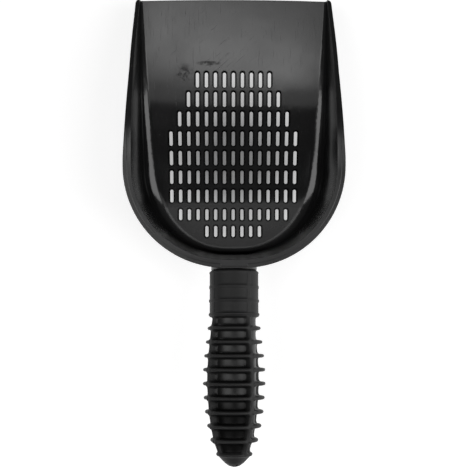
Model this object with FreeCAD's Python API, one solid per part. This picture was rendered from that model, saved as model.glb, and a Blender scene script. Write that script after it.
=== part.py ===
import FreeCAD, Part
import math
import os

os.makedirs("parts", exist_ok=True)

V = FreeCAD.Vector

# Hand scoop for sifting beach sand. All lengths are in millimetres.
# X is across the scoop, +Y points at the digging lip, +Z is up and the mouth is open upwards.
# Z = 0 is the flat underside of the basket, X = 0 is the plane of symmetry.

# Basket, in plan: straight sides, a corner arc on each side and a flatter arc across the back.
# The walls are drafted so that the mouth is the wide end.
SIDE_HALF = 69.7
SIDE_ARC_X = 6.0
SIDE_ARC_Y = 37.9
BACK_ARC_R = 197.4
MOUTH_Z = 67.0
DRAFT_DEG = 2.8
WALL = 2.8
FLOOR = 3.0

# Digging lip
LIP_Y = 157.2
LIP_BOW = 1.0
LIP_CORNER_R = 2.6
LIP_THICK = 1.9
LIP_BEVEL = 12.0

# Radius between floor and wall, inside, as (y, radius): small at the back and the lip
CORNER_R = [(-18.0, 4.5), (13.0, 10.0), (38.0, 9.5), (LIP_Y, 1.2)]

# Heights along Y. Each line is level from the back to its first point and smooth from there to the lip.
# The floor is given by its rise above the flat belly, and the rim by its fall below the mouth.
LINE_PAST_LIP = LIP_Y + 7.0
FLOOR_RISE = [(13.0, 0.0), (22.0, 0.5), (35.0, 2.5), (48.2, 5.8), (61.7, 10.1), (75.2, 14.1), (88.7, 16.4),
              (102.5, 17.4), (120.5, 18.2), (138.5, 19.0), (LIP_Y, 20.0), (LINE_PAST_LIP, 20.4)]
RIM_FALL = [(29.0, 0.0), (48.0, 0.5), (67.0, 2.2), (88.0, 6.8), (102.5, 11.4), (118.5, 18.4), (136.5, 28.4),
            (148.5, 35.6), (LIP_Y, 40.2), (LINE_PAST_LIP, 42.6)]
FLOOR_LINE = [(y, FLOOR + rise) for y, rise in FLOOR_RISE]
RIM_LINE = [(y, MOUTH_Z - fall) for y, fall in RIM_FALL]
LINE_START_Y = -60.0

# Rim bead: a step outside the wall, just under the mouth, that fades out towards the lip
BEAD_OUT = 2.6
BEAD_DROP = 1.5
BEAD_DEEP = 2.6
BEAD_FULL_Y = 44.0
BEAD_END_Y = 135.0
RIM_TAB_W = 17.5
RIM_TAB_OUT = 1.3

# Sifting slots, narrowest at the underside: (y of the row, how many, length)
SLOT_PITCH_X = 6.35
SLOT_W = 2.3
SLOT_DRAFT = 0.6
SLOT_ROWS = [(102.2, 9, 10.4), (88.7, 11, 10.4), (75.2, 13, 10.4), (61.7, 15, 10.4), (48.2, 15, 10.4),
             (34.7, 15, 9.6), (21.2, 15, 9.25), (7.7, 13, 8.0), (-4.5, 7, 8.0)]

# Handle, built along its own axis, which climbs away from the back wall
HANDLE_RISE_DEG = 8.0
SEAT_BEHIND_RIM = 2.4
SEAT_Z = 48.0
NECK_R = 15.25
TUBE_OD = 22.2
TUBE_WALL = 1.6
TUBE_END_GAP = 1.0
SPIGOT_FIT = 0.1
SPIGOT_LEN = 46.0
SPIGOT_WALL = 3.0
GRIP_FIT = 0.15
SEAT_GAP = 0.3

# Rubber grip, on one pitch from end to end: plain collar with three bands, ten fins, closed cone end
GRIP_PITCH = 8.993
COLLAR_R = 16.2
BAND_FIRST = 11.06
BAND_UP = [0.35, 0.5, 0.65]
BAND_W = 1.6
BAND_TO_COLLAR_END = 1.55
FIN_R = [17.6, 18.7, 19.75, 20.45, 20.55, 20.0, 19.15, 17.7, 15.6, 11.8]
FIN_W = 2.2
RIB_W = 2.4
RIB_ANGLES = [36.0, 127.0, 216.0, 302.0]
RIB_BELOW_FIN = 0.15
RIB_ON_COLLAR = 0.3
COLLAR_LEN = BAND_FIRST + (len(BAND_UP) - 1) * GRIP_PITCH + BAND_TO_COLLAR_END
FIN_FIRST = BAND_FIRST + len(BAND_UP) * GRIP_PITCH
FIN_LAST = FIN_FIRST + (len(FIN_R) - 1) * GRIP_PITCH

# Outside of the sleeve between the fins: (fins counted from the first, how far outside the bore)
SLEEVE = [(4.5, 3.05), (6.0, 2.5), (7.0, 1.65), (8.0, 0.2), (9.0, -1.65)]
SLEEVE_AT_COLLAR = 3.05

# Cone end: (distance past the last fin, radius)
CONE = [(0.0, 10.6), (1.4, 10.2), (3.7, 8.0), (5.6, 6.1), (7.3, 3.7), (8.1, 1.2), (8.1, 0.0)]

# Inside of the grip: a bore for the tube, a narrower relief behind it and a vent out of the cone
BORE_R = TUBE_OD / 2 + GRIP_FIT
BORE_LEN = FIN_LAST - 20.0
TUBE_LEN = BORE_LEN - TUBE_END_GAP
RELIEF_R = 6.0
RELIEF_END = FIN_LAST - 1.0
VENT_R = 0.8
VENT_X = 1.6
VENT_UP = 4.6


def back_arc_y():
    """Y of the centre of the arc across the back."""
    return SIDE_ARC_Y + math.sqrt((BACK_ARC_R - SIDE_HALF + SIDE_ARC_X) ** 2 - SIDE_ARC_X ** 2)


def back_y(grow):
    """Rearmost point of the mouth's plan, moved out by grow."""
    return back_arc_y() - BACK_ARC_R - grow


def back_arcs(z, grow):
    """Curved back of the plan at height z, moved out by grow, as arcs from the right side to the left."""
    r = SIDE_HALF - SIDE_ARC_X + grow
    join = math.atan2(SIDE_ARC_X, back_arc_y() - SIDE_ARC_Y)
    half = (math.pi / 2 - join) / 2
    start = V(SIDE_ARC_X + r, SIDE_ARC_Y, z)
    bend = V(SIDE_ARC_X + r * math.cos(half), SIDE_ARC_Y - r * math.sin(half), z)
    stop = V(SIDE_ARC_X + r * math.sin(join), SIDE_ARC_Y - r * math.cos(join), z)
    left = [V(-p.x, p.y, z) for p in (stop, bend, start)]
    return [Part.Arc(start, bend, stop).toShape(), Part.Arc(stop, V(0, back_y(grow), z), left[0]).toShape(),
            Part.Arc(left[0], left[1], left[2]).toShape()]


def d_wire(z, inset, front_y):
    """Plan outline of the basket at height z, moved in by inset, closed at front_y."""
    shrink = (MOUTH_Z - z) * math.tan(math.radians(DRAFT_DEG)) + inset
    a = SIDE_HALF - shrink
    path = [V(a, SIDE_ARC_Y, z), V(a, front_y, z), V(-a, front_y, z), V(-a, SIDE_ARC_Y, z)]
    return Part.Wire(Part.__sortEdges__(back_arcs(z, -shrink) + Part.makePolygon(path).Edges))


def d_block(inset, front_y, low, high):
    """Drafted block with the basket's plan outline."""
    return Part.makeLoft([d_wire(low, inset, front_y), d_wire(high, inset, front_y)], True, True)


def line_edges(points, lift):
    """Edges in the plane X = 0: level up to the first (y, z) point, then smooth, all raised by lift."""
    spots = [V(0, y, z + lift) for y, z in points]
    start = V(0, LINE_START_Y, spots[0].z)
    end = (spots[-1] - spots[-2]).normalize()
    curve = Part.BSplineCurve()
    curve.interpolate(Points=spots, InitialTangent=V(0, 1, 0), FinalTangent=end)
    return [Part.makeLine(start, spots[0]), curve.toShape()]


def side_band(low, low_lift, high, high_lift, half_width):
    """Solid between two lines of (y, z) points, extended across X."""
    bottom = line_edges(low, low_lift)
    top = line_edges(high, high_lift)
    back = Part.makeLine(bottom[0].Vertexes[0].Point, top[0].Vertexes[0].Point)
    front = Part.makeLine(bottom[1].Vertexes[1].Point, top[1].Vertexes[1].Point)
    face = Part.Face(Part.Wire(Part.__sortEdges__(bottom + top + [back, front])))
    face.translate(V(-half_width, 0, 0))
    return face.extrude(V(2 * half_width, 0, 0))


def height_at(points, y):
    """Height of a line of (y, z) points at y."""
    cut = Part.makeLine(V(0, y, -50), V(0, y, 150))
    return Part.Wire(line_edges(points, 0)).distToShape(cut)[1][0][0].z


def corner_radius(y, wall):
    """Radius between floor and wall at y, on a surface that lies wall outside the inner one."""
    radius = CORNER_R[0][1]
    for (y0, r0), (y1, r1) in zip(CORNER_R, CORNER_R[1:]):
        if y > y0:
            radius = r0 + (r1 - r0) * min((y - y0) / (y1 - y0), 1)
    return radius + wall


def corner_radii(solid, lift, wall):
    """Number and two radii of each edge where the floor, raised by lift, meets the walls.

    The edges run as one chain from the left end of the lip, round the back, to the right end.
    """
    found = []
    for number, edge in enumerate(solid.Edges, 1):
        pts = edge.discretize(7)
        on_floor = all(abs(p.z - lift - height_at(FLOOR_LINE, p.y)) < 0.05 for p in pts)
        near = min(p.y for p in pts)
        far = max(p.y for p in pts)
        if on_floor and far - near > 0.05:
            ends = [far, near] if edge.CenterOfMass.x < 0 else [near, far]
            found.append((number, corner_radius(ends[0], wall), corner_radius(ends[1], wall)))
    return found


def round_corner(block, lift, wall):
    """Round where the floor, raised by lift, meets the walls, with a radius that changes along the basket."""
    doc = FreeCAD.newDocument()
    base = doc.addObject("Part::Feature")
    base.Shape = block
    rounded = doc.addObject("Part::Fillet")
    rounded.Base = base
    rounded.Edges = corner_radii(block, lift, wall)
    doc.recompute()
    return rounded.Shape.Solids[0]


def cavity_block():
    """The inside of the basket, running out over the lip and above the mouth."""
    roof = [(30.0, 95.0), (100.0, 95.0), (LINE_PAST_LIP, 95.0)]
    block = d_block(WALL, LIP_Y + 5, -6, 100).common(side_band(FLOOR_LINE, 0, roof, 0, 120)).Solids[0]
    return round_corner(block, 0, 0)


def outer_block():
    """The outside of the basket, filled in."""
    block = d_block(0, LIP_Y + 5, -6, 100).common(side_band(FLOOR_LINE, -FLOOR, RIM_LINE, 0, 120)).Solids[0]
    return round_corner(block, -FLOOR, FLOOR)


def rim_bead():
    """Step outside the wall under the mouth, fading into the wall before the lip."""
    a = SIDE_HALF + BEAD_OUT
    inside = SIDE_HALF - 2
    path = [V(a, SIDE_ARC_Y, 0), V(a, BEAD_FULL_Y, 0), V(inside, BEAD_END_Y, 0), V(-inside, BEAD_END_Y, 0),
            V(-a, BEAD_FULL_Y, 0), V(-a, SIDE_ARC_Y, 0)]
    plan = Part.Face(Part.Wire(Part.__sortEdges__(back_arcs(0, BEAD_OUT) + Part.makePolygon(path).Edges)))
    strip = side_band(RIM_LINE, -BEAD_DROP - BEAD_DEEP, RIM_LINE, -BEAD_DROP, 120)
    return plan.extrude(V(0, 0, 100)).common(strip).Solids[0]


def rim_tab():
    """Small square tab on the mouth above the handle."""
    return Part.makeBox(RIM_TAB_W, RIM_TAB_OUT + 2, BEAD_DEEP + 0.5,
                        V(-RIM_TAB_W / 2, back_y(RIM_TAB_OUT), MOUTH_Z - BEAD_DEEP - 0.5))


def lip_trim():
    """Plan shape that bows the lip and rounds its two corners."""
    half = SIDE_HALF + BEAD_OUT + 1
    side = SIDE_HALF - (MOUTH_Z - height_at(RIM_LINE, LIP_Y)) * math.tan(math.radians(DRAFT_DEG))
    corner = V(side, LIP_Y - LIP_BOW, 0)
    start = V(side, corner.y - LIP_CORNER_R, 0)
    stop = V(side - LIP_CORNER_R, corner.y, 0)
    bend = V(side - LIP_CORNER_R * (1 - math.sqrt(0.5)), corner.y - LIP_CORNER_R * (1 - math.sqrt(0.5)), 0)
    right = Part.Arc(start, bend, stop).toShape()
    left = Part.Arc(V(-stop.x, stop.y, 0), V(-bend.x, bend.y, 0), V(-start.x, start.y, 0)).toShape()
    bow = Part.Arc(stop, V(0, LIP_Y, 0), V(-stop.x, stop.y, 0)).toShape()
    back = [V(-start.x, start.y, 0), V(-half, start.y, 0), V(-half, -120, 0), V(half, -120, 0),
            V(half, start.y, 0), start]
    wire = Part.Wire(Part.__sortEdges__([right, bow, left] + Part.makePolygon(back).Edges))
    return Part.Face(wire).extrude(V(0, 0, 120))


def lip_bevel():
    """Wedge that thins the floor from below towards the lip."""
    z_lip = height_at(FLOOR_LINE, LIP_Y) - LIP_THICK
    z_back = height_at(FLOOR_LINE, LIP_Y - LIP_BEVEL) - FLOOR
    slope = (z_lip - z_back) / LIP_BEVEL
    back = LIP_Y - LIP_BEVEL
    front = LIP_Y + 8
    z_front = z_lip + 8 * slope
    profile = [V(-120, back, z_back), V(-120, front, z_front), V(-120, front, -10), V(-120, back, -10)]
    return Part.Face(Part.makePolygon(profile + [profile[0]])).extrude(V(240, 0, 0))


def stadium(length, width, slope, centre):
    """Round-ended outline, long in Y, lying on a plane that climbs along Y by slope."""
    r = width / 2
    h = length / 2 - r
    arcs = [Part.Arc(V(r, h, 0), V(0, h + r, 0), V(-r, h, 0)).toShape(),
            Part.makeLine(V(-r, h, 0), V(-r, -h, 0)),
            Part.Arc(V(-r, -h, 0), V(0, -h - r, 0), V(r, -h, 0)).toShape(),
            Part.makeLine(V(r, -h, 0), V(r, h, 0))]
    wire = Part.Wire(arcs)
    wire.Placement = FreeCAD.Placement(centre, FreeCAD.Rotation(V(1, 0, 0), math.degrees(math.atan(slope))))
    return wire


def slots():
    """Tapered cutters for all the sifting slots."""
    cutters = []
    above = 2 * SLOT_DRAFT * (FLOOR + 1) / FLOOR
    below = 2 * SLOT_DRAFT * 0.5 / FLOOR
    for y, count, length in SLOT_ROWS:
        slope = (height_at(FLOOR_LINE, y + 3) - height_at(FLOOR_LINE, y - 3)) / 6
        z = height_at(FLOOR_LINE, y)
        for i in range(count):
            x = (i - (count - 1) / 2) * SLOT_PITCH_X
            top = stadium(length + above, SLOT_W + above, slope, V(x, y, z + 1))
            low = stadium(length - below, SLOT_W - below, slope, V(x, y, z - FLOOR - 0.5))
            cutters.append(Part.makeLoft([low, top], True, True))
    return cutters


def on_handle(shape):
    """Move a shape built along +Z, with +Y as its upper side, onto the handle's axis."""
    seat_y = back_y(BEAD_OUT) - SEAT_BEHIND_RIM
    seat = FreeCAD.Placement(V(0, seat_y, SEAT_Z), FreeCAD.Rotation(V(1, 0, 0), 90 - HANDLE_RISE_DEG))
    shape.Placement = seat.multiply(shape.Placement)
    return shape


def revolve(points):
    """Solid of revolution about Z from (s, r) points that start and end on the axis."""
    outline = [V(r, 0, s) for s, r in points]
    face = Part.Face(Part.makePolygon(outline + [outline[0]]))
    return face.revolve(V(0, 0, 0), V(0, 0, 1), 360)


def rod(radius, low, high):
    """Plain cylinder along Z."""
    return Part.makeCylinder(radius, high - low, V(0, 0, low))


def neck():
    """Stop collar at the foot of the handle."""
    collar = rod(NECK_R, -26, 0)
    return on_handle(collar.makeFillet(0.6, [e for e in collar.Edges if abs(e.CenterOfMass.z) < 0.01]))


def spigot():
    """Hollow peg behind the stop collar that the tube is pressed onto."""
    r = TUBE_OD / 2 - TUBE_WALL - SPIGOT_FIT
    peg = rod(r, -20, SPIGOT_LEN)
    peg = peg.makeChamfer(1.0, [e for e in peg.Edges if abs(e.CenterOfMass.z - SPIGOT_LEN) < 0.01])
    return on_handle(peg)


def spigot_hollow():
    r = TUBE_OD / 2 - TUBE_WALL - SPIGOT_FIT - SPIGOT_WALL
    return on_handle(rod(r, 0, SPIGOT_LEN + 5))


def fin(k):
    """One fin: a disc with a half-round edge."""
    at = FIN_FIRST + k * GRIP_PITCH
    r = FIN_R[k]
    w = FIN_W / 2
    root = BORE_R + 0.8 if at < BORE_LEN else RELIEF_R + 1
    edges = [Part.makeLine(V(root, 0, at - w), V(r - w, 0, at - w)),
             Part.Arc(V(r - w, 0, at - w), V(r, 0, at), V(r - w, 0, at + w)).toShape(),
             Part.makeLine(V(r - w, 0, at + w), V(root, 0, at + w)),
             Part.makeLine(V(root, 0, at + w), V(root, 0, at - w))]
    return Part.Face(Part.Wire(edges)).revolve(V(0, 0, 0), V(0, 0, 1), 360)


def ribs():
    """Four lengthwise ribs, almost flush with the fins."""
    tops = [(FIN_FIRST + k * GRIP_PITCH, r - RIB_BELOW_FIN) for k, r in enumerate(FIN_R)]
    on_collar = COLLAR_R + RIB_ON_COLLAR
    points = [(1, 0), (1, on_collar), (COLLAR_LEN, on_collar)] + tops + [(tops[-1][0], 0)]
    envelope = revolve(points)
    inside = BORE_R + 0.8
    made = []
    for angle in RIB_ANGLES:
        slab = Part.makeBox(RIB_W, 30, FIN_LAST + 10, V(-RIB_W / 2, inside, 0))
        slab.rotate(V(0, 0, 0), V(0, 0, 1), -angle)
        made.append(envelope.common(slab))
    return made


def grip():
    """Closed rubber grip in the handle's own axes."""
    collar = [(0, 0), (0, COLLAR_R - 1), (0.3, COLLAR_R - 0.3), (1, COLLAR_R), (COLLAR_LEN, COLLAR_R)]
    sleeve = [(COLLAR_LEN, BORE_R + SLEEVE_AT_COLLAR)]
    sleeve += [(FIN_FIRST + k * GRIP_PITCH, BORE_R + out) for k, out in SLEEVE]
    cone = [(FIN_LAST + past, r) for past, r in CONE]
    body = revolve(collar + sleeve + cone)
    added = [fin(k) for k in range(len(FIN_R))] + ribs()
    for k, up in enumerate(BAND_UP):
        at = BAND_FIRST + k * GRIP_PITCH
        added.append(rod(COLLAR_R + up, at - BAND_W / 2, at + BAND_W / 2))
    body = body.multiFuse(added)
    bore = rod(BORE_R, -1, BORE_LEN)
    relief = rod(RELIEF_R, BORE_LEN - 1, RELIEF_END)
    vent = Part.makeCylinder(VENT_R, 30, V(VENT_X, VENT_UP, RELIEF_END - 4))
    body = body.cut(bore.fuse([relief, vent]))
    return body.removeSplitter().Solids[0]


def scoop_shell():
    cavity = cavity_block()
    body = outer_block().multiFuse([rim_bead(), rim_tab(), neck()])
    body = body.cut(cavity).fuse(spigot().cut(outer_block()))
    body = body.cut(lip_bevel()).common(lip_trim())
    body = body.cut(spigot_hollow()).cut(Part.makeCompound(slots()))
    return body.Solids[0]


def handle_tube():
    r = TUBE_OD / 2
    body = rod(r, SEAT_GAP, TUBE_LEN).cut(rod(r - TUBE_WALL, -1, TUBE_LEN + 1))
    return on_handle(body)


scoop_shell().exportStep("parts/scoop_shell.step")
handle_tube().exportStep("parts/handle_tube.step")
rubber_grip = grip()
rubber_grip.translate(V(0, 0, SEAT_GAP))
on_handle(rubber_grip).exportStep("parts/rubber_grip.step")
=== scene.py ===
import math

import bmesh
import bpy
from mathutils import Matrix, Vector


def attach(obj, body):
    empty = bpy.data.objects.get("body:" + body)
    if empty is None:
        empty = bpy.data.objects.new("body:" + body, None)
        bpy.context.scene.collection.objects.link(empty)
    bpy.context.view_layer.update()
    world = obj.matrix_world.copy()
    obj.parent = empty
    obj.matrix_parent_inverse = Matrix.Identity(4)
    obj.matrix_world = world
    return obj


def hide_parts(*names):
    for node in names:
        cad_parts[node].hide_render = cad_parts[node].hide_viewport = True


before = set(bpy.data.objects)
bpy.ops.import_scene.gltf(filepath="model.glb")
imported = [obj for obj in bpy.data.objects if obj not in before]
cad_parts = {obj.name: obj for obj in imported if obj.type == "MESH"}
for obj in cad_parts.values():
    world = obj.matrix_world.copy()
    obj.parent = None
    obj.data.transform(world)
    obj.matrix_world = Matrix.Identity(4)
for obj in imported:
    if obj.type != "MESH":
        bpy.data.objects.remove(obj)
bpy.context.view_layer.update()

MM = 0.001

# ---------------------------------------------------------------- the grip's sizes, in millimetres
# The grip is measured along the handle from the seat, where its collar starts.
SEAT = Vector((0.0, -30.935, 48.0))
HANDLE_RISE = math.radians(8.0)
SEAT_GAP = 0.3
PITCH = 8.993
COLLAR_R = 16.2
COLLAR_EDGE_R = 1.0
COLLAR_EDGE_LEN = 1.2
BAND_FIRST = 11.06
BAND_UP = [0.35, 0.5, 0.65]
BAND_W = 1.6
BAND_TO_COLLAR_END = 1.55
FIN_R = [17.6, 18.7, 19.75, 20.45, 20.55, 20.0, 19.15, 17.7, 15.6, 11.8]
FIN_W = 2.2
FIN_FIRST = BAND_FIRST + len(BAND_UP) * PITCH
FIN_LAST = FIN_FIRST + (len(FIN_R) - 1) * PITCH
COLLAR_END = BAND_FIRST + (len(BAND_UP) - 1) * PITCH + BAND_TO_COLLAR_END
BORE_R = 11.25
BORE_END_TO_LAST_FIN = 20.0
BORE_LEN = FIN_LAST - BORE_END_TO_LAST_FIN
RIB_W = 2.4
RIB_BELOW_FIN = 0.15
RIB_ON_COLLAR = 0.3
RIB_ANGLES = [math.radians(a) for a in (36.0, 127.0, 216.0, 302.0)]

# Outside of the sleeve between the fins: (fins counted from the first, how far outside the bore)
SLEEVE = [(4.5, 3.05), (6.0, 2.5), (7.0, 1.65), (8.0, 0.2), (9.0, -1.65)]

# Cone end: (distance past the last fin, radius)
CONE = [(0.0, 10.6), (1.4, 10.2), (3.7, 8.0), (5.6, 6.1), (7.3, 3.7), (8.1, 1.2)]

# Pockets between the fins, shallow panels between the collar's bands, and the steps round both
POCKET_CORNER_R = 2.2
POCKET_SIDE_W = 0.45
POCKET_FOOT_UP = 0.6
POCKET_FOOT_W = 0.4
PANEL_DEEP = 0.25
PANEL_CORNER_R = 1.2
COLLAR_STEP_W = 0.5
PANEL_START = 1.5
PANEL_START_LEN = 0.8

# Vent in the cone's end: its place off the axis, its radius, and where the drill starts and stops
VENT_AT = Vector((1.6, 4.6, 0.0))
VENT_R = 0.8
VENT_FROM = FIN_LAST + 1.0
VENT_TO = FIN_LAST + 12.0

# How far each surface stands up, from 0 in a pocket to 1 on a fin. The rubber's look, with its painted
# shade in the pockets and painted sheen on the fins, depends on it.
STAND_FIN = 1.0
STAND_COLLAR = 0.85
STAND_CONE = 0.6
STAND_BORE = 0.0

# ---------------------------------------------------------------- places of wear and light, in metres
# Sand wear grows from WORN_START_Y to WORN_FULL_Y. The basket turns dull over the two DULL_BACK values,
# and the grip's pockets over the two DULL_END values.
WORN_START_Y = 0.02
WORN_FULL_Y = 0.12
DULL_BACK_START_Y = 0.016
DULL_BACK_FULL_Y = -0.012
DULL_END_START_Y = -0.109
DULL_END_FULL_Y = -0.119

# Diagonal scratches, a round smudge and a lying one, each with where it is full and where it is gone
SLASHES_AT = (-0.012, 0.122, 0.021)
SLASHES_FULL_R = 0.012
SLASHES_GONE_R = 0.045
SMUDGE_AT = (-0.0350, 0.1055, 0.0195)
SMUDGE_FULL_R = 0.0035
SMUDGE_GONE_R = 0.0085
DASH_AT = (-0.0175, 0.1134, 0.0200)
DASH_LONG = 5.0
DASH_FULL_R = 0.0055
DASH_GONE_R = 0.0095

# Oval round all the slots, and the highest place they reach, bounding the painted shade of the slot
# walls
SLOTS_MIDDLE_Y = 0.048
SLOTS_HALF_X = 0.056
SLOTS_HALF_Y = 0.070
SLOTS_TOP_Z = 0.0215

# Oval on the floor in which the paper glows less: a painted shade under the basket
SHADE_MIDDLE_Y = 0.0451
SHADE_HALF_X = 0.0645
SHADE_HALF_Y = 0.0752

# ---------------------------------------------------------------- stage, light and camera, in metres
FLOOR_HALF = 2.0
FLOOR_DROP = 0.0002
AMBIENT = 0.08
OVERHEAD = 1.1
OVERHEAD_SPIN = math.radians(-13.4)
CAMERA_AT = (-0.0068, -0.0071, 0.5973)
CAMERA_LEAN = math.radians(-0.78)
SENSOR_MM = 36.0
LENS_MM = 62.92
NEAR_CLIP = 0.01


# ---------------------------------------------------------------- node helpers
class Shader:
    """A material's node tree, with short calls for the nodes used here."""

    def __init__(self, name):
        self.mat = bpy.data.materials.new(name)
        self.mat.use_nodes = True
        self.tree = self.mat.node_tree
        self.tree.nodes.clear()
        self.out = self.tree.nodes.new("ShaderNodeOutputMaterial")
        self.bsdf = self.tree.nodes.new("ShaderNodeBsdfPrincipled")
        self.tree.links.new(self.bsdf.outputs[0], self.out.inputs[0])

    def feed(self, socket, value):
        """Link a socket to another socket, or set its value."""
        if isinstance(value, bpy.types.NodeSocket):
            self.tree.links.new(value, socket)
        else:
            socket.default_value = value

    def place(self):
        return self.tree.nodes.new("ShaderNodeTexCoord").outputs["Object"]

    def stretch(self, vector, scale, turn=0.0):
        """Turn a vector about Z, then scale it."""
        spun = self.tree.nodes.new("ShaderNodeVectorRotate")
        spun.rotation_type = "Z_AXIS"
        self.feed(spun.inputs["Vector"], vector)
        spun.inputs["Angle"].default_value = turn
        node = self.tree.nodes.new("ShaderNodeMapping")
        self.feed(node.inputs["Vector"], spun.outputs[0])
        node.inputs["Scale"].default_value = scale
        return node.outputs[0]

    def away(self, vector, spot):
        """Distance between a vector and a spot."""
        node = self.tree.nodes.new("ShaderNodeVectorMath")
        node.operation = "DISTANCE"
        self.feed(node.inputs[0], vector)
        node.inputs[1].default_value = spot
        return node.outputs["Value"]

    def noise(self, vector, scale, detail=3.0, rough=0.5):
        node = self.tree.nodes.new("ShaderNodeTexNoise")
        self.feed(node.inputs["Vector"], vector)
        node.inputs["Scale"].default_value = scale
        node.inputs["Detail"].default_value = detail
        node.inputs["Roughness"].default_value = rough
        return node.outputs["Fac"]

    def span(self, value, low, high, to_low=0.0, to_high=1.0):
        """Map low..high onto to_low..to_high, clamped."""
        node = self.tree.nodes.new("ShaderNodeMapRange")
        self.feed(node.inputs["Value"], value)
        ends = {"From Min": low, "From Max": high, "To Min": to_low, "To Max": to_high}
        for name, number in ends.items():
            node.inputs[name].default_value = number
        return node.outputs[0]

    def math(self, kind, a, b):
        node = self.tree.nodes.new("ShaderNodeMath")
        node.operation = kind
        self.feed(node.inputs[0], a)
        self.feed(node.inputs[1], b)
        return node.outputs[0]

    def both(self, a, b):
        """Product of two masks, or of a mask and its strength."""
        return self.math("MULTIPLY", a, b)

    def blend(self, share, a, b):
        """Colour a where share is 0 and b where it is 1."""
        node = self.tree.nodes.new("ShaderNodeMix")
        node.data_type = "RGBA"
        self.feed(node.inputs["Factor"], share)
        self.feed(node.inputs["A"], a)
        self.feed(node.inputs["B"], b)
        return node.outputs["Result"]

    def axis(self, vector, letter):
        node = self.tree.nodes.new("ShaderNodeSeparateXYZ")
        self.feed(node.inputs[0], vector)
        return node.outputs[letter]

    def bump(self, height, strength, distance, normal=None):
        node = self.tree.nodes.new("ShaderNodeBump")
        self.feed(node.inputs["Height"], height)
        node.inputs["Strength"].default_value = strength
        node.inputs["Distance"].default_value = distance
        if normal is not None:
            self.feed(node.inputs["Normal"], normal)
        return node.outputs[0]

    def round_edges(self, radius):
        node = self.tree.nodes.new("ShaderNodeBevel")
        node.samples = 6
        node.inputs["Radius"].default_value = radius
        return node.outputs[0]

    def facing(self, normal, other):
        node = self.tree.nodes.new("ShaderNodeVectorMath")
        node.operation = "DOT_PRODUCT"
        self.feed(node.inputs[0], normal)
        self.feed(node.inputs[1], other)
        return node.outputs["Value"]

    def true_normal(self):
        return self.tree.nodes.new("ShaderNodeNewGeometry").outputs["True Normal"]

    def finish(self, color, roughness, normal=None, metallic=0.0):
        self.feed(self.bsdf.inputs["Base Color"], color)
        self.feed(self.bsdf.inputs["Roughness"], roughness)
        self.bsdf.inputs["Metallic"].default_value = metallic
        if normal is not None:
            self.feed(self.bsdf.inputs["Normal"], normal)
        return self.mat


def grey(value, tint=1.0):
    return (value, value, value * tint, 1.0)


# ---------------------------------------------------------------- materials
def sand_scratches(s, here, up, cloud):
    """Masks of the long scratches on the ramp and lip, and of the short scuffs across the basket."""
    toward_lip = s.span(s.axis(here, "Y"), WORN_START_Y, WORN_FULL_Y)
    worn = s.both(toward_lip, s.span(up, 0.6, 0.95))
    streaks = s.noise(s.stretch(here, (1500.0, 55.0, 600.0)), 1.0, 4.0, 0.6)
    scratch = s.both(s.span(streaks, 0.60, 0.72), worn)
    cross = s.noise(s.stretch(here, (160.0, 1300.0, 500.0)), 1.0, 3.0, 0.6)
    scuff = s.both(s.span(cross, 0.64, 0.76), s.span(cloud, 0.4, 0.6))
    turned = s.stretch(here, (1900.0, 70.0, 500.0), math.radians(50.0))
    centre = s.span(s.away(here, SLASHES_AT), SLASHES_GONE_R, SLASHES_FULL_R)
    slash = s.both(s.span(s.noise(turned, 1.0, 2.0, 0.4), 0.66, 0.72), centre)
    return s.math("MAXIMUM", scratch, slash), scuff


def smudges(s, here):
    """Mask of two torn, dull marks above the slots: one round, one lying across."""
    torn = s.span(s.noise(here, 260.0, 4.0, 0.7), 0.42, 0.60)
    spot = s.span(s.away(here, SMUDGE_AT), SMUDGE_GONE_R, SMUDGE_FULL_R)
    squeezed = (DASH_AT[0], DASH_AT[1] * DASH_LONG, DASH_AT[2])
    off_dash = s.away(s.stretch(here, (1.0, DASH_LONG, 1.0)), squeezed)
    dash = s.span(off_dash, DASH_GONE_R, DASH_FULL_R)
    return s.both(s.math("MAXIMUM", spot, dash), torn)


def slot_wall_shade(s, here, up):
    """Mask of the slots' walls and their rounded upper edges, which get a painted shade: dark and dull.
    """
    scaled = s.stretch(here, (1 / SLOTS_HALF_X, 1 / SLOTS_HALF_Y, 0.0))
    off_middle = s.away(scaled, (0.0, SLOTS_MIDDLE_Y / SLOTS_HALF_Y, 0.0))
    below_top = s.span(s.axis(here, "Z"), SLOTS_TOP_Z + 1.0 * MM, SLOTS_TOP_Z)
    slotted = s.both(s.span(off_middle, 1.02, 1.0), below_top)
    not_underside = s.span(up, -0.6, -0.3)
    edge = s.span(s.facing(s.round_edges(1.1 * MM), s.true_normal()), 0.9995, 0.985)
    wall = s.span(up, 0.8, 0.5)
    return s.both(s.both(slotted, not_underside), s.math("MAXIMUM", edge, wall))


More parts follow.
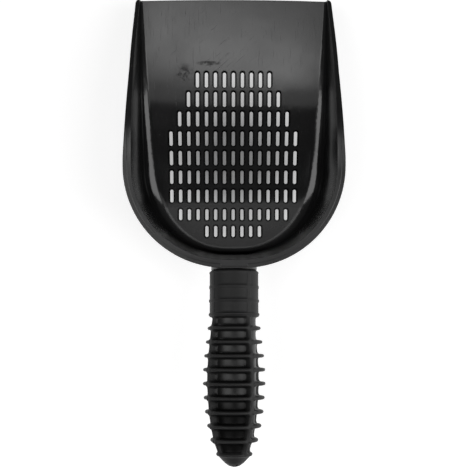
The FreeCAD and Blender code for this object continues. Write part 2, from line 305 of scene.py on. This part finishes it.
def black_plastic():
    """Glossy moulded black: scratched ramp and lip, two smudges, rougher edges painted lighter as a
    highlight, slot walls in painted shade.
    """
    s = Shader("moulded_black")
    here = s.place()
    up = s.axis(s.true_normal(), "Z")
    rounded = s.round_edges(0.55 * MM)
    edge = s.span(s.facing(rounded, s.true_normal()), 0.995, 0.90)
    cloud = s.noise(here, 45.0, 4.0)
    scratch, scuff = sand_scratches(s, here, up, cloud)
    specks = s.span(s.noise(here, 1900.0, 2.0, 0.7), 0.72, 0.80)
    smudge = smudges(s, here)
    slot = slot_wall_shade(s, here, up)
    color = s.blend(s.span(cloud, 0.3, 0.7), grey(0.0060, 1.04), grey(0.0095, 1.04))
    color = s.blend(s.both(scratch, 0.5), color, grey(0.05))
    color = s.blend(s.both(scuff, 0.25), color, grey(0.04))
    color = s.blend(s.both(specks, 0.35), color, grey(0.06))
    # Rounded edges painted lighter: a painted highlight.
    color = s.blend(s.both(edge, 0.5), color, grey(0.024))
    # Slot walls and their upper edges painted near black: a painted shade.
    color = s.blend(slot, color, grey(0.0025))
    rough = s.span(cloud, 0.3, 0.7, 0.125, 0.175)
    rough = s.math("ADD", rough, s.both(scratch, 0.12))
    dull = s.span(s.axis(here, "Y"), DULL_BACK_START_Y, DULL_BACK_FULL_Y, 0.0, 0.17)
    rough = s.math("ADD", rough, dull)
    rough = s.math("ADD", rough, s.both(smudge, 0.18))
    rough = s.math("ADD", rough, s.both(edge, 0.12))
    flow = s.bump(s.noise(here, 30.0, 2.0), 0.16, 0.6 * MM, rounded)
    skin = s.bump(s.noise(here, 700.0, 2.0), 0.05, 0.05 * MM, flow)
    marks = s.bump(s.math("ADD", scratch, scuff), 0.12, -0.03 * MM, skin)
    # The slot walls lose their shine as part of their painted shade; the smudges are duller.
    shine = s.both(s.span(slot, 0.0, 1.0, 0.62, 0.0), s.span(smudge, 0.0, 1.0, 1.0, 0.55))
    s.feed(s.bsdf.inputs["Specular IOR Level"], shine)
    return s.finish(color, rough, marks)


def rubber():
    """Matt charcoal rubber: fin tops greyer, as wear from handling and a painted sheen; pockets darker,
    as a painted shade, and dusty.
    """
    s = Shader("grip_rubber")
    here = s.place()
    mark = s.tree.nodes.new("ShaderNodeAttribute")
    mark.attribute_name = "stand"
    stand = mark.outputs["Fac"]
    cloud = s.noise(here, 70.0, 4.0)
    grain = s.noise(here, 2600.0, 3.0, 0.7)
    deep = s.span(stand, 0.45, 0.0)
    dust = s.both(s.span(s.noise(here, 420.0, 4.0, 0.7), 0.55, 0.75), deep)
    color = s.blend(s.span(cloud, 0.3, 0.7), grey(0.0085, 1.02), grey(0.0125, 1.02))
    # Fin tops painted greyer: a painted sheen, and wear from handling.
    color = s.blend(s.both(s.span(stand, 0.8, 1.0), 0.6), color, grey(0.016))
    # Pockets painted near black: a painted shade.
    color = s.blend(s.both(deep, 0.85), color, grey(0.0022))
    color = s.blend(s.both(dust, 0.10), color, grey(0.03))
    color = s.blend(s.span(grain, 0.62, 0.8, 0.0, 0.3), color, grey(0.022))
    rough = s.math("SUBTRACT", s.span(cloud, 0.3, 0.7, 0.50, 0.60), s.both(deep, 0.17))
    dull_at_end = s.span(s.axis(here, "Y"), DULL_END_FULL_Y, DULL_END_START_Y, 0.06, 0.34)
    shine = s.math("ADD", s.both(deep, dull_at_end), s.span(deep, 0.0, 1.0, 0.27, 0.0))
    s.feed(s.bsdf.inputs["Specular IOR Level"], shine)
    skin = s.bump(grain, 0.16, 0.05 * MM)
    wave = s.bump(s.noise(here, 220.0, 2.0), 0.10, 0.15 * MM, skin)
    return s.finish(color, rough, wave)


def drawn_aluminium():
    """Mill-finished tube, with drawing lines along its length."""
    s = Shader("drawn_aluminium")
    here = s.place()
    lines = s.noise(s.stretch(here, (2600.0, 14.0, 2600.0)), 1.0, 4.0, 0.6)
    cloud = s.noise(here, 60.0, 3.0)
    color = s.blend(s.span(cloud, 0.3, 0.7), (0.66, 0.67, 0.68, 1.0), (0.76, 0.77, 0.78, 1.0))
    color = s.blend(s.span(lines, 0.6, 0.8, 0.0, 0.35), color, (0.45, 0.45, 0.46, 1.0))
    rough = s.span(lines, 0.3, 0.7, 0.26, 0.42)
    return s.finish(color, rough, s.bump(lines, 0.15, 0.03 * MM), 1.0)


def white_paper(shown, shaded):
    """Seamless white paper. It looks lighter than it lights the scoop, less so under the basket, where
    a painted shade lowers its glow.
    """
    s = Shader("floor_paper")
    here = s.place()
    fibre = s.noise(here, 900.0, 3.0, 0.6)
    color = s.blend(s.span(fibre, 0.3, 0.7), grey(0.585), grey(0.615))
    s.finish(color, 0.9, s.bump(fibre, 0.1, 0.05 * MM))
    scaled = s.stretch(here, (1 / SHADE_HALF_X, 1 / SHADE_HALF_Y, 0.0))
    ring = s.away(scaled, (0.0, SHADE_MIDDLE_Y / SHADE_HALF_Y, 0.0))
    glow = s.tree.nodes.new("ShaderNodeEmission")
    # Inside the oval the paper glows less: a painted shade under the basket.
    s.feed(glow.inputs["Strength"], s.span(ring, 0.3, 1.05, shaded, shown))
    lit = s.tree.nodes.new("ShaderNodeAddShader")
    s.feed(lit.inputs[0], s.bsdf.outputs[0])
    s.feed(lit.inputs[1], glow.outputs[0])
    ray = s.tree.nodes.new("ShaderNodeLightPath")
    seen = s.math("MAXIMUM", ray.outputs["Is Camera Ray"], ray.outputs["Is Glossy Ray"])
    pick = s.tree.nodes.new("ShaderNodeMixShader")
    s.feed(pick.inputs[0], s.math("MAXIMUM", seen, ray.outputs["Is Transmission Ray"]))
    s.feed(pick.inputs[1], s.bsdf.outputs[0])
    s.feed(pick.inputs[2], lit.outputs[0])
    s.feed(s.out.inputs[0], pick.outputs[0])
    return s.mat


# ---------------------------------------------------------------- the rubber grip
def mix(a, b, t):
    return a + (b - a) * t


def smooth(t):
    t = min(max(t, 0.0), 1.0)
    return t * t * (3.0 - 2.0 * t)


def along(points, s):
    """Height at s of a line of (s, height) points, held level past its ends."""
    if s <= points[0][0]:
        return points[0][1]
    for (s0, r0), (s1, r1) in zip(points, points[1:]):
        if s <= s1:
            return mix(r0, r1, (s - s0) / (s1 - s0))
    return points[-1][1]


BANDS = [BAND_FIRST + k * PITCH for k in range(len(BAND_UP))]
FINS = [FIN_FIRST + k * PITCH for k in range(len(FIN_R))]
TOPS = [(COLLAR_END, COLLAR_R + RIB_ON_COLLAR)] + list(zip(FINS, FIN_R))
FLOORS = [(FIN_FIRST + k * PITCH, BORE_R + out) for k, out in SLEEVE]
WALLS = [COLLAR_END - FIN_W / 2] + FINS


def rib_distance(angle, radius):
    """Distance round the sleeve from the nearest rib's middle."""
    turns = [abs((angle - rib + math.pi) % (2 * math.pi) - math.pi) for rib in RIB_ANGLES]
    return min(turns) * radius


def nearest(places, s):
    """Index of the place that is nearest to s."""
    return min(range(len(places)), key=lambda i: abs(s - places[i]))


def gap_distance(across, length_way, corner):
    """Signed distance into a round-cornered window, from the distances to its two nearest sides."""
    if across > corner and length_way > corner:
        return min(across, length_way)
    if across < corner and length_way < corner:
        return corner - math.hypot(corner - across, corner - length_way)
    return min(across, length_way)


def end_radius(s):
    """Radius and stand past the last fin's middle: the fin's rounded back, then the cone."""
    past = s - FIN_LAST
    body = along(CONE, past)
    half = FIN_W / 2
    if past < half:
        return max(FIN_R[-1] - half + math.sqrt(half * half - past * past), body), STAND_FIN
    return body, STAND_CONE


def collar_radius(s, angle):
    """Radius and stand of the collar: rounded start, raised bands, shallow panels between them."""
    k = nearest(BANDS, s)
    off_band = abs(s - BANDS[k]) - BAND_W / 2
    off_rib = rib_distance(angle, COLLAR_R) - RIB_W / 2
    skin = COLLAR_R - (1.0 - smooth(s / COLLAR_EDGE_LEN)) * COLLAR_EDGE_R
    raised = smooth(0.5 - off_band / COLLAR_STEP_W) * BAND_UP[k]
    into_panel = gap_distance(off_rib, off_band, PANEL_CORNER_R)
    sunk = smooth(into_panel / COLLAR_STEP_W) * PANEL_DEEP
    sunk *= smooth((s - PANEL_START) / PANEL_START_LEN)
    return skin + max(raised, PANEL_DEEP) - sunk, STAND_COLLAR


def finned_radius(s, angle):
    """Radius and stand between the collar and the last fin: fins, ribs, round-cornered pockets."""
    top = along(TOPS, s)
    low = along(FLOORS, s)
    k = nearest(WALLS, s)
    off_fin = abs(s - WALLS[k]) - FIN_W / 2
    off_rib = rib_distance(angle, 0.5 * (top + low)) - RIB_W / 2
    inside = gap_distance(off_rib, off_fin, POCKET_CORNER_R)
    ridge = TOPS[k][1] if off_fin < off_rib else top - RIB_BELOW_FIN
    half = FIN_W / 2
    if inside < 0:
        depth = min(-inside, half)
        return ridge - half + math.sqrt(half * half - (half - depth) ** 2), STAND_FIN
    drop = smooth(inside / POCKET_SIDE_W)
    foot = POCKET_FOOT_UP * math.exp(-max(inside - POCKET_SIDE_W, 0.0) / POCKET_FOOT_W)
    high = ridge - half
    return mix(high, min(low + foot, high), drop), 1.0 - drop


def grip_radius(s, angle):
    """Radius and stand of the grip's outside at s and angle."""
    if s > FIN_LAST:
        return end_radius(s)
    if s < COLLAR_END:
        return collar_radius(s, angle)
    return finned_radius(s, angle)


def around(places, steps):
    """Each step before and after each place."""
    return [at + side * step for at in places for step in steps for side in (-1, 1)]


def after(places, steps):
    """Each step after each place."""
    return [at + step for at in places for step in steps]


def grip_stations():
    """Distances along the grip for the rings of vertices, close together at each fin and band."""
    out = [0.3, 0.6, 0.9, 1.2, 1.5, 1.9, 2.3, 3.2, 4.6, 6.0, 7.4, 8.6]
    out += around(BANDS, (0.3, 0.55, 0.7, 0.8, 0.9, 1.05, 1.3))
    out += after(BANDS[:-1], (2.4, 3.8, 5.2, 6.6))
    out += [COLLAR_END - 0.02]
    out += after([COLLAR_END], (0.02, 0.1, 0.2, 0.3, 0.45, 0.7, 1.1, 1.8, 2.8, 3.8, 4.8))
    at_fins = around(FINS, (0.0, 0.5, 0.8, 1.0, 1.11, 1.18, 1.26, 1.38, 1.55, 1.9))
    out += [s for s in at_fins if s < FIN_LAST + FIN_W / 2]
    out += after(FINS[:-1], (2.6, 3.6, 4.5, 5.4, 6.4))
    out += after([FIN_LAST], (1.1, 1.4, 2.1, 2.9, 3.7, 4.3, 4.9, 5.6, 6.1, 6.7, 7.3, 7.7, 8.1))
    return sorted(set(round(s, 4) for s in out))


def grip_angles():
    """Angles round the grip for the vertices, close together at each rib."""
    rib = [0.0, 0.02, 0.04, 0.055, 0.066, 0.074, 0.082, 0.09, 0.10, 0.115, 0.135, 0.16, 0.195, 0.24]
    between = 18
    out = []
    for a, b in zip(RIB_ANGLES, RIB_ANGLES[1:] + [RIB_ANGLES[0] + 2 * math.pi]):
        out += [a + d for d in rib] + [b - d for d in rib[1:]]
        wide = b - a - 2 * rib[-1]
        out += [a + rib[-1] + wide * i / between for i in range(1, between)]
    return sorted(out)


def on_handle(s, r, angle):
    """Point in metres for a distance along the handle, a radius and an angle from its upper side."""
    local = Vector((r * math.sin(angle), r * math.cos(angle), s + SEAT_GAP))
    turn = Matrix.Rotation(math.pi / 2 - HANDLE_RISE, 3, "X")
    return (SEAT + turn @ local) * MM


def build_grip():
    """Closed skin: bore, front face, collar, fins and pockets, cone end."""
    angles = grip_angles()
    count = len(angles)
    rings = [[(BORE_LEN, BORE_R, STAND_BORE)] * count,
             [(0.0, BORE_R, STAND_BORE)] * count,
             [(0.0, COLLAR_R - COLLAR_EDGE_R, STAND_COLLAR)] * count]
    for s in grip_stations():
        rings.append([(s, *grip_radius(s, angle)) for angle in angles])
    points = [on_handle(s, r, a) for ring in rings for (s, r, stand), a in zip(ring, angles)]
    stands = [stand for ring in rings for s, r, stand in ring]
    faces = []
    for i in range(len(rings) - 1):
        for j in range(count):
            k = (j + 1) % count
            faces.append((i * count + j, i * count + k, (i + 1) * count + k, (i + 1) * count + j))
    points += [on_handle(BORE_LEN, 0.0, 0.0), on_handle(FIN_LAST + CONE[-1][0], 0.0, 0.0)]
    stands += [STAND_BORE, STAND_CONE]
    start = len(points) - 2
    last = (len(rings) - 1) * count
    faces += [(start, (j + 1) % count, j) for j in range(count)]
    faces += [(start + 1, last + j, last + (j + 1) % count) for j in range(count)]
    mesh = bpy.data.meshes.new("grip_skin")
    mesh.from_pydata([tuple(p) for p in points], [], faces)
    mark = mesh.attributes.new("stand", "FLOAT", "POINT")
    mark.data.foreach_set("value", stands)
    obj = bpy.data.objects.new("grip_skin", mesh)
    bpy.context.collection.objects.link(obj)
    tidy = bmesh.new()
    tidy.from_mesh(mesh)
    bmesh.ops.recalc_face_normals(tidy, faces=tidy.faces)
    tidy.to_mesh(mesh)
    tidy.free()
    mesh.shade_smooth()
    return obj


def drill_vent(obj):
    """Small hole out of the cone end."""
    angle = math.atan2(VENT_AT.x, VENT_AT.y)
    low = on_handle(VENT_FROM, VENT_AT.length, angle)
    high = on_handle(VENT_TO, VENT_AT.length, angle)
    bm = bmesh.new()
    turn = (high - low).to_track_quat("Z", "Y").to_matrix().to_4x4()
    bmesh.ops.create_cone(bm, cap_ends=True, segments=24, radius1=VENT_R * MM, radius2=VENT_R * MM,
                          depth=(high - low).length, matrix=Matrix.Translation((low + high) / 2) @ turn)
    mesh = bpy.data.meshes.new("vent_drill")
    bm.to_mesh(mesh)
    bm.free()
    drill = bpy.data.objects.new("vent_drill", mesh)
    bpy.context.collection.objects.link(drill)
    cut = obj.modifiers.new("vent", "BOOLEAN")
    cut.operation = "DIFFERENCE"
    cut.object = drill
    bpy.context.view_layer.objects.active = obj
    bpy.ops.object.select_all(action="DESELECT")
    obj.select_set(True)
    bpy.ops.object.modifier_apply(modifier="vent")
    bpy.data.objects.remove(drill)


def dress(obj, mat):
    """Give every slot of an object the material."""
    for slot in obj.material_slots:
        slot.material = mat
    if not obj.material_slots:
        obj.data.materials.append(mat)


dress(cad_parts["scoop_shell"], black_plastic())
dress(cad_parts["handle_tube"], drawn_aluminium())

grip = build_grip()
drill_vent(grip)
dress(grip, rubber())
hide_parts("rubber_grip")
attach(grip, "root")


# ---------------------------------------------------------------- floor, light and camera
def flat_sheet(name, half, z):
    """Square level sheet, from its half width and height."""
    mesh = bpy.data.meshes.new(name)
    corners = [(-half, -half, z), (half, -half, z), (half, half, z), (-half, half, z)]
    mesh.from_pydata(corners, [], [(0, 1, 2, 3)])
    obj = bpy.data.objects.new(name, mesh)
    bpy.context.collection.objects.link(obj)
    return obj


floor = flat_sheet("floor", FLOOR_HALF, -FLOOR_DROP)
dress(floor, white_paper(shown=0.66, shaded=0.14))

world = bpy.data.worlds.new("studio")
bpy.context.scene.world = world
world.use_nodes = True
sky = world.node_tree.nodes["Background"]
sky.inputs["Color"].default_value = grey(1.0)
sky.inputs["Strength"].default_value = AMBIENT


def panel(name, at, look, width, height, radiance, spin=0.0):
    """Soft rectangular light whose face shows the given radiance."""
    data = bpy.data.lights.new(name, "AREA")
    data.shape = "RECTANGLE"
    data.size = width
    data.size_y = height
    data.energy = radiance * math.pi * width * height
    obj = bpy.data.objects.new(name, data)
    obj.location = at
    aim = (Vector(look) - Vector(at)).to_track_quat("-Z", "Y").to_matrix()
    obj.rotation_euler = (Matrix.Rotation(spin, 3, "Z") @ aim).to_euler()
    bpy.context.collection.objects.link(obj)


# Three panels over the lip light the ramp, and one on each side lights the walls and their feet.
panel("front_panel", at=(0.0, 0.29, OVERHEAD), look=(0.0, 0.29, 0.0),
      width=0.44, height=0.26, radiance=1.25, spin=OVERHEAD_SPIN)
panel("front_core", at=(0.01, 0.255, OVERHEAD - 0.01), look=(0.01, 0.255, 0.0),
      width=0.36, height=0.11, radiance=1.75, spin=OVERHEAD_SPIN)
panel("back_glow", at=(0.0, 0.06, OVERHEAD), look=(0.0, 0.06, 0.0),
      width=0.50, height=0.20, radiance=0.65, spin=OVERHEAD_SPIN)
panel("left_panel", at=(-0.495, -0.12, 0.81), look=(0.256, -0.12, 0.149),
      width=0.58, height=0.77, radiance=2.7)
panel("right_panel", at=(0.575, -0.12, 0.60), look=(-0.336, -0.12, 0.19),
      width=0.58, height=1.10, radiance=2.6)

lens = bpy.data.cameras.new("photo_camera")
lens.sensor_width = SENSOR_MM
lens.lens = LENS_MM
lens.clip_start = NEAR_CLIP
camera = bpy.data.objects.new("photo_camera", lens)
bpy.context.collection.objects.link(camera)
camera.location = CAMERA_AT
camera.rotation_euler = (0.0, CAMERA_LEAN, 0.0)
scene = bpy.context.scene
scene.camera = camera
scene.view_settings.view_transform = "Standard"
